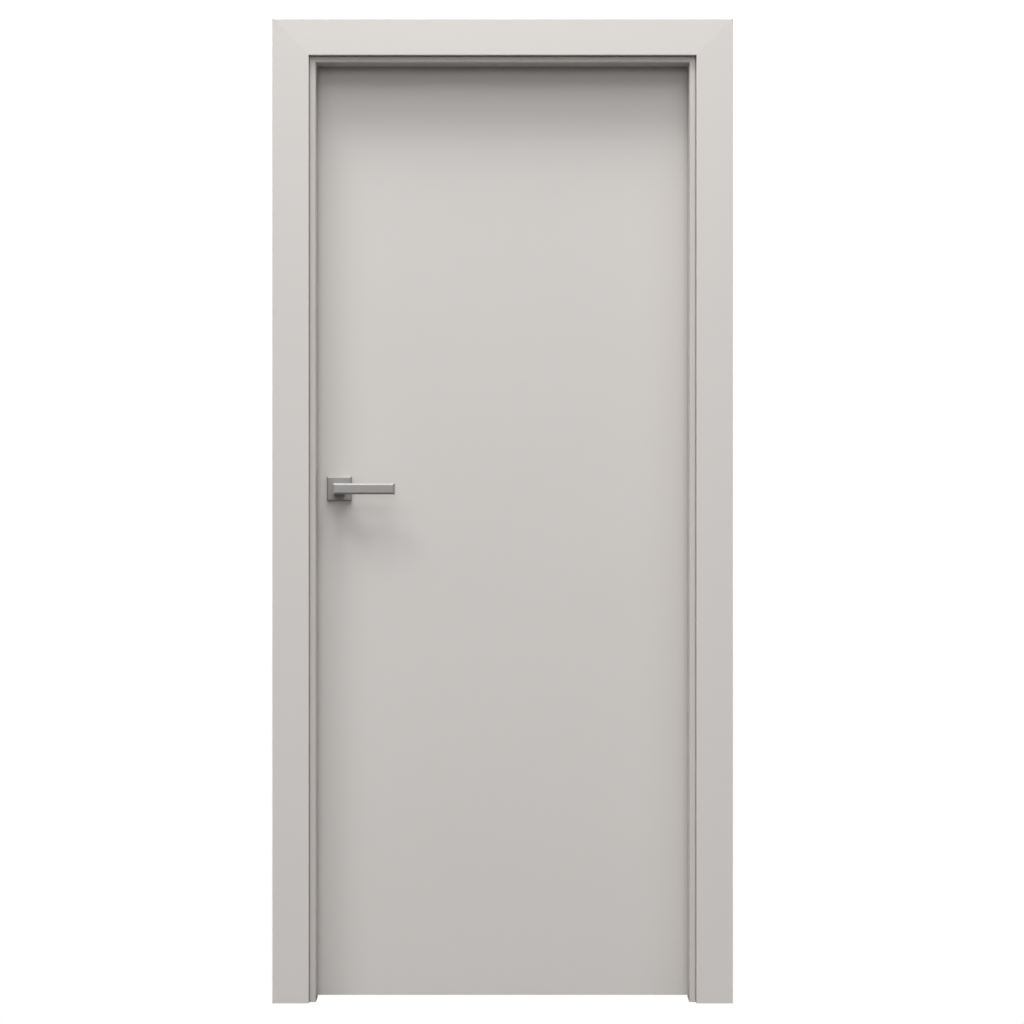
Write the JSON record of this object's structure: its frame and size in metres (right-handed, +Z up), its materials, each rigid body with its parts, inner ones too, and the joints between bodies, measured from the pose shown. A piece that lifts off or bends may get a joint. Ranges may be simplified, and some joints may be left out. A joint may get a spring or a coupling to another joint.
{
  "type": "interior door set",
  "caption": "Flush rebated interior door leaf in a wrap-round surround with flat casings, drilled-in hinges and square-rosette lever handles.",
  "frame": {"origin": "on the wall face of the hinge-side jamb, half-way through the wall, at floor level", "axes": "+Z up from the floor, +X out of the hinge-side jamb into the wall, +Y through the wall towards the side that the leaf opens to"},
  "size_m": [0.992, 0.1835, 2.121],
  "materials": {
    "surround_finish": "satin warm light grey laminate on wood board",
    "leaf_finish": "satin warm light grey laminate on wood board",
    "leaf_edge": "satin edge band in the leaf's colour",
    "stile_wood": "plain softwood, seen only under the leaf",
    "core_board": "light tubular chipboard, closed in",
    "seal_rubber": "matt brown-grey soft seal",
    "hinge_nickel": "matt nickel",
    "washer_nylon": "plain nylon",
    "lock_steel": "zinc plated",
    "lock_nickel": "matt nickel",
    "handle_nickel": "satin nickel with a fine brushed grain"
  },
  "bodies": {
    "frame": {"jamb_left": "surround_finish", "jamb_right": "surround_finish", "head_jamb": "surround_finish", "front_casing_left": "surround_finish", "front_casing_right": "surround_finish", "front_casing_head": "surround_finish", "back_casing_left": "surround_finish", "back_casing_right": "surround_finish", "back_casing_head": "surround_finish", "seal_left": "seal_rubber", "seal_right": "seal_rubber", "seal_head": "seal_rubber", "strike_plate": "lock_steel", "strike_screws": "lock_steel", "hinge_frame_part_low": "hinge_nickel", "hinge_frame_part_mid": "hinge_nickel", "hinge_frame_part_top": "hinge_nickel", "hinge_washers": "washer_nylon"},
    "leaf": {"leaf_front_facing": "leaf_finish", "leaf_back_facing": "leaf_finish", "edge_band_left": "leaf_edge", "edge_band_right": "leaf_edge", "edge_band_top": "leaf_edge", "lock_stile": "stile_wood", "hinge_stile": "stile_wood", "top_rail": "stile_wood", "bottom_rail": "stile_wood", "leaf_core": "core_board", "hinge_leaf_part_low": "hinge_nickel", "hinge_leaf_part_mid": "hinge_nickel", "hinge_leaf_part_top": "hinge_nickel", "lock_case": "lock_steel", "lock_faceplate": "lock_nickel", "latch_bolt": "lock_nickel", "faceplate_screws": "lock_steel", "front_rosette": "handle_nickel", "back_rosette": "handle_nickel"},
    "handle": {"front_lever": "handle_nickel", "back_lever": "handle_nickel", "spindle": "lock_steel", "lock_follower": "lock_steel"}
  },
  "joints": [
    {"name": "door_swing", "type": "hinge", "parent": "frame", "child": "leaf", "pos_m": [0, 0.06425, 0], "axis": [0, 0, -1], "range_deg": [0, 110]},
    {"name": "lever_turn", "type": "hinge", "parent": "leaf", "child": "handle", "pos_m": [-0.787, 0.0315, 1.108], "axis": [0, 1, 0], "range_deg": [0, 40], "stiffness_Nm_per_rad": 0.8, "springref_deg": -45.84}
  ]
}
